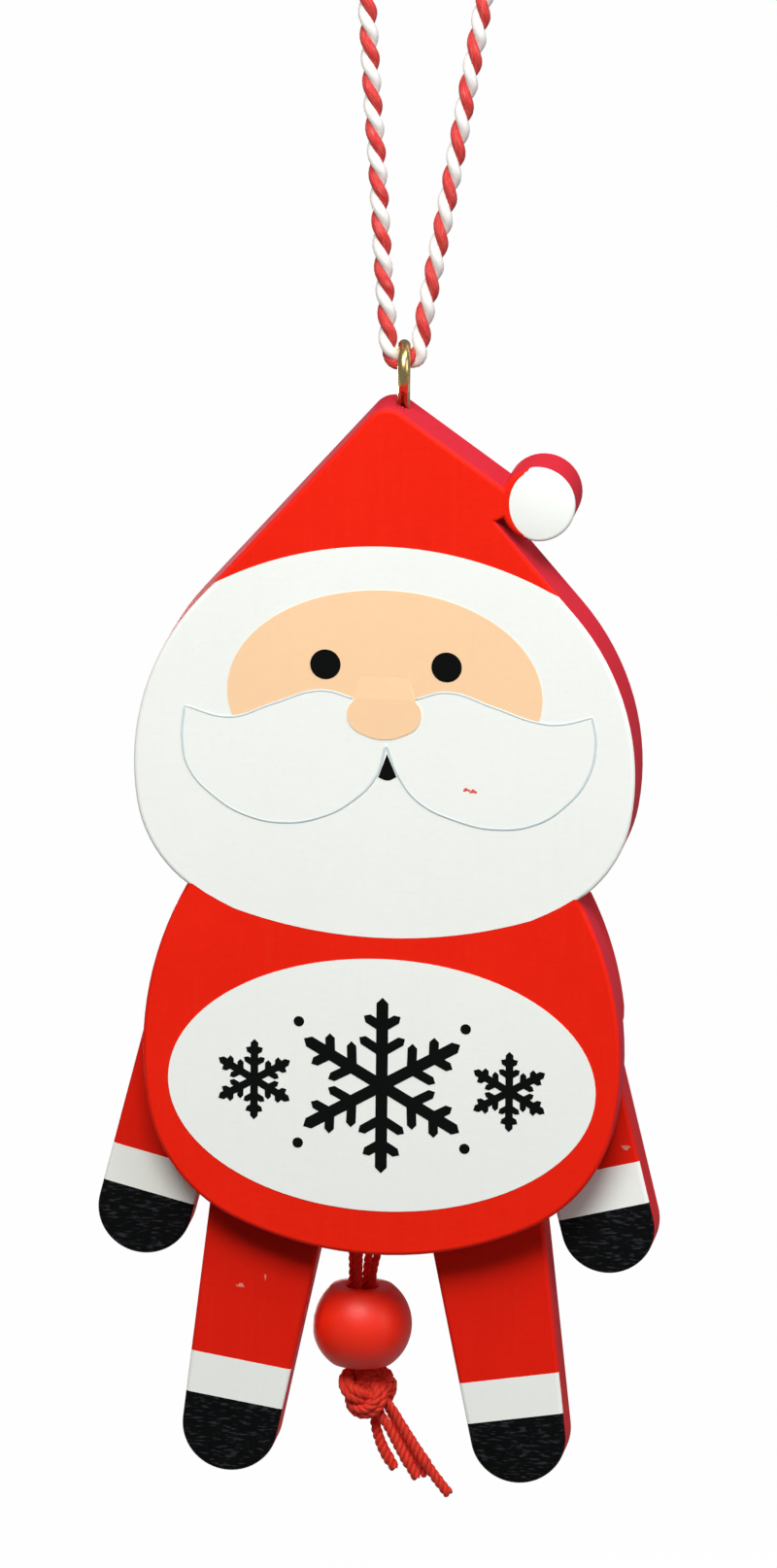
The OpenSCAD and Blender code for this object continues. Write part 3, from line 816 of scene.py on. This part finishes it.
def painted_board():
    board = copy_of_node("front_board", "painted_board")
    round_edges(board, FRONT_Y, HEAD_BACK_Y)
    area = flat_plate("head_area", head_paint_outline(), FRONT_Y - CUT_MARGIN, FRONT_Y + PAINT_WRAP)
    white = paint_film("white_head", board, area)
    bobble = flat_plate("white_bobble", bobble_outline(), coat_level(0), FRONT_Y + BOBBLE_DEPTH)
    round_edges(bobble, coat_level(0))
    finish_piece(board, RED_BOARD, "figure", "painted_board", "front_board")
    finish_piece(white, WHITE, "figure", "painted_board")
    finish_piece(bobble, WHITE, "figure", "painted_board")


def coat(name, points, layer, material, corners=None):
    """A flat coat of paint on the board's front, so many coats up."""
    plate = flat_plate(name, points, coat_level(layer), FRONT_Y + PAINT_STEP, corners)
    return finish_piece(plate, material, "figure", "painted_board")


FACE_DROP, FACE_HALF_W, FACE_HALF_H, FACE_CUT = 34 * MM, 16.4 * MM, 11.1 * MM, 38.4 * MM
FACE_STEPS = 60
EYES = {"left": (-6.2 * MM, 31.0 * MM), "right": (6.4 * MM, 30.8 * MM)}
EYE_R, EYE_STEPS = 1.58 * MM, 48
# Outlines on the face as (x, drop) millimetres. Each half of the moustache starts at its top
# middle and goes out to its tip, whose index comes after it
MOUSTACHE = {
    "left": ([
        (0.2, 34.2), (-3.3, 34.5), (-6.6, 33.8), (-11.6, 35.4), (-16.1, 37.0), (-20.8, 36.0),
        (-21.0, 39.6), (-20.3, 42.6), (-17.5, 45.6), (-14.5, 47.3), (-10.5, 48.0), (-6.4, 47.2),
        (-3.4, 45.5), (-0.9, 42.8), (0.2, 39.2)], 5),
    "right": ([
        (0.2, 34.2), (3.1, 34.4), (6.5, 33.5), (11.4, 34.9), (15.9, 36.3), (18.2, 36.4),
        (21.6, 35.5), (22.0, 38.2), (21.2, 41.9), (18.8, 45.1), (15.8, 47.1), (11.7, 47.8),
        (7.7, 47.1), (3.6, 45.2), (1.6, 42.7), (0.2, 39.2)], 6)}
MOUSTACHE_LINE, LINE_FLATNESS, LINE_STEPS = 0.24 * MM, 0.3, 2
NOSE = [(-2.4, 32.0), (-3.1, 34.5), (-3.9, 35.9), (-3.4, 37.5), (-1.9, 38.4), (0, 38.75), (1.9, 38.3),
        (3.4, 37.3), (3.8, 35.7), (3.1, 34.4), (2.4, 32.0)]
NOSE_CORNERS = (0, 1, 9, 10)
# The nose stands over the moustache, and its top slopes back into the face above this drop
NOSE_LAYER, NOSE_TOP_LAYER, NOSE_TOP_DROP = 6, 0.9, 32.2 * MM
MOUTH, MOUTH_CORNERS = [(0.3, 40.3), (1.3, 42.7), (0.4, 43.1), (-0.6, 42.8)], (0, 1, 3)


def outline_line(name, points, corners, layer):
    """A fine painted line along an open outline."""
    line = bezier_mesh(name, [(x, 0, z) for x, z in points], corners, False, dimensions="3D",
                       bevel_depth=MOUSTACHE_LINE / 2, use_fill_caps=True, bevel_resolution=LINE_STEPS)
    flat = Matrix.Diagonal((1, LINE_FLATNESS, 1, 1))
    settle(line, Matrix.Translation((0, coat_level(layer), 0)) @ flat)
    finish_piece(line, LINE_GREY, "figure", "painted_board")


def painted_face():
    edge = math.asin((FACE_CUT - FACE_DROP) / FACE_HALF_H)
    face = [on_board(FACE_HALF_W * math.cos(t), FACE_DROP - FACE_HALF_H * math.sin(t))
            for t in even(-edge, math.pi + edge, FACE_STEPS)]
    coat("face", face, 1, SKIN)
    for word, (outline, tip) in MOUSTACHE.items():
        points = drawn(outline)
        ends = (0, tip, len(points) - 1)
        coat(f"{word}_moustache", points, 2, WHITE, corners=ends)
        outline_line(f"{word}_moustache_line", points[1:], (tip - 1,), 2)
    nose = coat("nose", drawn(NOSE), NOSE_LAYER, SKIN, corners=NOSE_CORNERS)
    for vertex in nose.data.vertices:
        if vertex.co.y < FRONT_Y and -vertex.co.z < NOSE_TOP_DROP:
            vertex.co.y = coat_level(NOSE_TOP_LAYER)
    coat("mouth", drawn(MOUTH), 1.5, PRINT_BLACK, corners=MOUTH_CORNERS)
    for word, (x, drop) in EYES.items():
        coat(f"{word}_eye", ellipse(x, drop, EYE_R, EYE_R, EYE_STEPS), 3, PRINT_BLACK)


OVAL_X, OVAL_DROP, OVAL_HALF_W, OVAL_HALF_H = 0.1 * MM, 75.7 * MM, 22.3 * MM, 13.5 * MM
DOT_R, OVAL_STEPS, DOT_STEPS = 0.55 * MM, 120, 24
# Snowflakes as x, drop, reach and half a bar's width, and dots as x and drop, in millimetres
FLAKES = {"middle": (0.1, 75.7, 9.4, 0.62), "left": (-13.2, 75.6, 4.3, 0.4),
          "right": (13.4, 75.8, 4.3, 0.4)}
DOTS = [(-8.6, 69.2), (8.8, 69.3), (-8.6, 82.2), (8.8, 82.1)]
# Side branches of a flake's arm as a place on it and a length, as shares of its reach
BRANCHES, BRANCH_LEAN, BRANCH_SHARE = ((0.38, 0.30), (0.66, 0.24)), math.radians(58), 0.8
FLAKE_ARMS = 6
# Bars differ in height by this much, so that no two faces lie in one place
BAR_STEP = 0.0005 * MM


def bar_points(x, z, turn, far, half):
    """A bar of a snowflake from (x, z), with a pointed far end."""
    corners = [(0, -half), (far - half, -half), (far, 0), (far - half, half), (0, half)]
    c, s = math.cos(turn), math.sin(turn)
    return [(x + u * c - v * s, z + u * s + v * c) for u, v in corners]


def flake(name, x_mm, drop_mm, reach_mm, half_mm):
    """A plain six-armed snowflake with two pairs of side branches on each arm."""
    x, z = on_board(x_mm * MM, drop_mm * MM)
    reach, half = reach_mm * MM, half_mm * MM
    parts = []
    for arm in range(FLAKE_ARMS):
        turn = math.radians(90 + 60 * arm)
        bars = [bar_points(x, z, turn, reach, half)]
        for place, length in BRANCHES:
            bx, bz = x + place * reach * math.cos(turn), z + place * reach * math.sin(turn)
            for side in SIDES:
                lean = turn + side * BRANCH_LEAN
                bars.append(bar_points(bx, bz, lean, length * reach, BRANCH_SHARE * half))
        for k, bar in enumerate(bars):
            level = coat_level(2) - BAR_STEP * (arm + FLAKE_ARMS * k)
            parts.append(flat_plate("flake_bar", bar, level, FRONT_Y + PAINT_STEP))
    finish_piece(joined(name, parts), PRINT_BLACK, "figure", "painted_board")


def painted_belly():
    oval = ellipse(OVAL_X, OVAL_DROP, OVAL_HALF_W, OVAL_HALF_H, OVAL_STEPS)
    coat("belly_oval", oval, 0.5, WHITE)
    for word, values in FLAKES.items():
        flake(f"{word}_snowflake", *values)
    for k, (x, drop) in enumerate(DOTS):
        dot = ellipse(x * MM, drop * MM, DOT_R, DOT_R, DOT_STEPS)
        coat(f"snow_dot_{k + 1}", dot, 2, PRINT_BLACK)


# Arms and legs

LIMB_MIDDLE = -0.9 * MM
# Each limb's pivot, its lean in degrees, and how far from the pivot its end and its cuffs are
LIMBS = {
    "arm": {"x": 17.9 * MM, "drop": 66 * MM, "lean": 14.1, "end": 36 * MM, "tip": "mitten",
            LEFT: (20.0 * MM, 24.1 * MM), RIGHT: (19.6 * MM, 24.1 * MM)},
    "leg": {"x": 10.6 * MM, "drop": 86 * MM, "lean": 9.1, "end": 40 * MM, "tip": "boot",
            LEFT: (21.3 * MM, 25.7 * MM), RIGHT: (22.0 * MM, 26.4 * MM)}}
ARM_HALF_W = 4.97 * MM
# A shoulder is drawn in by the trim, and between these distances from its pivot to the arm's edge
SHOULDER_EASE, SHOULDER_TRIM = (4.4 * MM, 8.7 * MM), 0.3 * MM
# Corners this near to the end of that stretch and to the arm's edge are merged
EASE_END_SHARE, EASE_REACH, EASE_MERGE = 0.95, 1 * MM, 0.3 * MM


def painted_end(name, limb, pivot, along, start, end):
    """A coat of paint on a limb's front between two distances from its pivot, just proud of it."""
    wrap = Vector((0, LIMB_FRONT_Y + PAINT_WRAP, 0))
    cuts = ((pivot + along * start, -along), (pivot + along * end, along), (wrap, Vector((0, 1, 0))))
    obj = add_object(name, limb.data.copy())
    obj.data.materials.clear()
    with edit_mode(obj):
        for place, away in cuts:
            bpy.ops.mesh.select_all(action="SELECT")
            bpy.ops.mesh.bisect(plane_co=place, plane_no=away, clear_outer=True)
    apply_modifier(obj, "SOLIDIFY", thickness=PAINT_LIFT, offset=1.0)
    smooth_shading()
    return obj


def ease_shoulder(arm, pivot, along, across):
    """Draws the lower corner of a wide shoulder in, so that it runs on into the arm's own edge."""
    start, end = SHOULDER_EASE
    with edit_mode(arm, "DESELECT"):
        pass
    for vertex in arm.data.vertices:
        reach, out = (vertex.co - pivot).dot(along), (vertex.co - pivot).dot(across)
        spare = abs(out) - ARM_HALF_W
        if reach < end and spare > SHOULDER_TRIM:
            t = max((reach - start) / (end - start), 0)
            kept = (spare - SHOULDER_TRIM) * (1 - t * t * (3 - 2 * t))
            vertex.co -= math.copysign(spare - kept, out) * across
        vertex.select = EASE_END_SHARE * end < reach < end and abs(spare) < EASE_REACH
    with edit_mode(arm):
        bpy.ops.mesh.select_mode(type="VERT")
        bpy.ops.mesh.remove_doubles(threshold=EASE_MERGE)


def painted_limbs():
    for owner, spec in LIMBS.items():
        for side, word in SIDES.items():
            name = f"{word}_{owner}"
            px, pz = on_board(LIMB_MIDDLE + side * spec["x"], spec["drop"])
            pivot = Vector((px, 0, pz))
            lean = side * math.radians(spec["lean"])
            along = Vector((math.sin(lean), 0, -math.cos(lean)))
            across = Vector((math.cos(lean), 0, math.sin(lean)))
            limb = copy_of_node(name, f"painted_{name}")
            if owner == "arm":
                ease_shoulder(limb, pivot, along, across)
            round_edges(limb, LIMB_FRONT_Y, LIMB_BACK_Y)
            start, end = spec[side]
            white = painted_end(f"{name}_cuff", limb, pivot, along, start, end)
            black = painted_end(f"{word}_{spec['tip']}", limb, pivot, along, end, spec["end"])
            finish_piece(limb, SHADED_RED_LIMB, name, "painted_limb", name)
            finish_piece(white, WHITE, name, "painted_limb")
            finish_piece(black, BLACK, name, "painted_limb")


# Small marks of paint as a name, a body, and x, drop and half sizes in millimetres
LIMB_MARK_Y, MARK_DEPTH, MARK_POINTS = LIMB_FRONT_Y - 0.02 * MM, 0.1 * MM, 14
MARKS = [("red_fleck_left", "figure", (8.6, 43.75, 0.36, 0.17)),
         ("red_fleck_right", "figure", (9.3, 43.9, 0.4, 0.2)),
         ("pale_chip_arm", "right_arm", (25.1, 82.4, 0.4, 0.26)),
         ("pale_chip_leg", "left_leg", (-15.0, 99.0, 0.38, 0.2)),
         ("pale_scratch_leg", "left_leg", (-12.4, 98.0, 0.09, 0.32))]


def paint_marks():
    """A slip of the red brush on the moustache, and chips in the red of two limbs."""
    for name, body, (x, drop, half_w, half_h) in MARKS:
        cx, cz = on_board(x * MM, drop * MM)
        outline = []
        for t in round_turns(MARK_POINTS):
            ragged = MM * (1 + 0.28 * math.sin(3 * t + x) + 0.2 * math.sin(5 * t + drop))
            outline.append((cx + half_w * ragged * math.cos(t), cz + half_h * ragged * math.sin(t)))
        on_front = body == "figure"
        level = coat_level(3) if on_front else LIMB_MARK_Y
        mark = flat_plate(name, outline, level, level + MARK_DEPTH)
        if on_front:
            finish_piece(mark, FLECK_RED, body, "painted_board")
        else:
            finish_piece(mark, CHIP_PALE, body, "painted_limb")


# Bead and metal

BEAD_R, BEAD_HALF_H, BEAD_HOLE_R = 5.2 * MM, 4.2 * MM, 1.6 * MM
MOUTH_ROUND, MOUTH_STEPS = 0.45 * MM, 4
# The ball of the bead ends a little before its flats
BALL_SHARE, BALL_STEPS = 0.96, 32
BEAD_STEPS, TURNED_SMOOTH, WIRE_SMOOTH = 96, 40, 60


def pull_bead():
    """Turned bead: a profile of its hole, rounded mouths and ball, spun round its axis."""
    profile = []
    x, z = BEAD_HOLE_R + MOUTH_ROUND, BEAD_HALF_H - MOUTH_ROUND
    for end, angles in ((-1, even(1.5 * math.pi, math.pi, MOUTH_STEPS)),
                        (1, even(math.pi, 0.5 * math.pi, MOUTH_STEPS))):
        for a in angles:
            profile.append((x + MOUTH_ROUND * math.cos(a), end * z + MOUTH_ROUND * math.sin(a)))
    edge = math.asin(BEAD_HALF_H / BEAD_R) * BALL_SHARE
    for a in even(edge, -edge, BALL_STEPS):
        profile.append((BEAD_R * math.cos(a), BEAD_R * math.sin(a)))
    profile.append(profile[0])
    mesh = bpy.data.meshes.new("painted_bead")
    points = [(BEAD_C.x + r, BEAD_C.y, BEAD_C.z + z) for r, z in profile]
    mesh.from_pydata(points, [(i, i + 1) for i in range(len(points) - 1)], [])
    bead = add_object("painted_bead", mesh)
    with edit_mode(bead, "SELECT"):
        bpy.ops.mesh.spin(steps=BEAD_STEPS, angle=2 * math.pi, center=BEAD_C, axis=(0, 0, 1))
    close_mesh(bead, MERGE)
    smooth_shading(TURNED_SMOOTH)
    finish_piece(bead, RED_BEAD, "pull", "painted_bead", "pull_bead")


def metal_parts():
    eye = copy_of_node("screw_eye", "brass_screw_eye", WIRE_SMOOTH)
    finish_piece(eye, EYE_BRASS, "figure", "brass", "screw_eye")
    for word in SIDES.values():
        for owner in LIMBS:
            pin = copy_of_node(f"{word}_{owner}_pin", f"{word}_{owner}_pivot_pin", TURNED_SMOOTH)
            finish_piece(pin, PIN_BRASS, "figure", "brass", f"{word}_{owner}_pin")


# Studio

FLOOR_DROP, FLOOR_SIZE, FLOOR_FRONT = 0.30, 14, 0.05
WORLD_LIGHT, MIRROR_LIGHT, PAPER_GLOW = 0.1, 0.22, 0.99
WORLD_TINT = (0.98, 0.99, 1.0, 1)
PAPER_DARK, PAPER_PALE = (0.44, 0.44, 0.44, 1), (0.48, 0.48, 0.48, 1)
WARM, NEUTRAL, COOL = (1.0, 0.99, 0.97), (0.96, 0.97, 1.0), (0.84, 0.88, 1.0)
LAMP_TARGET = Vector((0, 0, -0.06))
# Lamps as a place, power, width, height and colour
LAMPS = {"key": ((-0.03, -0.42, 0.36), 3.35, 0.36, 0.2, WARM),
         "side_fill": ((0.5, -0.2, 0.1), 0.7, 0.3, 0.3, NEUTRAL),
         "cool_top": ((0.2, -0.2, 0.52), 2.1, 0.5, 0.16, COOL),
         "back_fill": ((-0.2, 0.58, -0.2), 2.9, 0.3, 0.15, WARM)}


def seen_as_paper(n):
    """Full white for the camera and through glass, and a smaller share of it in mirrors."""
    path = n.add("ShaderNodeLightPath").outputs
    mirrored = n.math("MULTIPLY", path["Is Glossy Ray"], MIRROR_LIGHT)
    seen = n.math("MAXIMUM", path["Is Camera Ray"], path["Is Transmission Ray"])
    return n.math("MAXIMUM", seen, mirrored)


def paper(name):
    """Paper that is white to the camera and darker in mirrors, with a trace of shadow in it."""
    material, n, shader = new_material(name)
    fibre = n.noise(n.place(), scale=40, detail=2)
    n.feed(shader, {"Base Color": n.mix(fibre, PAPER_DARK, PAPER_PALE), "Roughness": 0.9})
    glow = n.add("ShaderNodeEmission", {"Color": (1, 1, 1, 1), "Strength": 1.0})
    blend = n.add("ShaderNodeMixShader", {
        0: n.math("MULTIPLY", seen_as_paper(n), PAPER_GLOW), 1: shader.outputs["BSDF"],
        2: glow.outputs["Emission"]})
    n.feed(n.tree.nodes["Material Output"], {"Surface": blend.outputs["Shader"]})
    return material


def lamp(name, place, power, width, height, colour):
    light = bpy.data.lights.new(name, "AREA")
    light.energy = power
    light.shape = "RECTANGLE"
    light.size = width
    light.size_y = height
    light.color = colour
    obj = add_object(name, light)
    obj.location = place
    obj.rotation_euler = (LAMP_TARGET - Vector(place)).to_track_quat("-Z", "Y").to_euler()


def studio():
    middle = (0, FLOOR_SIZE / 2 - FLOOR_FRONT, -FLOOR_DROP)
    bpy.ops.mesh.primitive_plane_add(size=FLOOR_SIZE, location=middle)
    floor = bpy.context.view_layer.objects.active
    floor.name = "floor"
    floor.data.materials.append(paper("floor_paper"))
    world = bpy.data.worlds.new("studio")
    bpy.context.scene.world = world
    world.use_nodes = True
    n = Nodes(world.node_tree)
    light = n.math("MAXIMUM", seen_as_paper(n), WORLD_LIGHT)
    n.feed(world.node_tree.nodes["Background"], {"Strength": light, "Color": WORLD_TINT})
    for name, values in LAMPS.items():
        lamp(name, *values)


make_camera()
hanging_twine()
pull_cords()
cross_strings()
ties_and_hitches()
pull_knot()
twine_knot()
painted_board()
painted_face()
painted_belly()
painted_limbs()
paint_marks()
pull_bead()
metal_parts()
studio()

bpy.context.scene.view_settings.view_transform = "Standard"
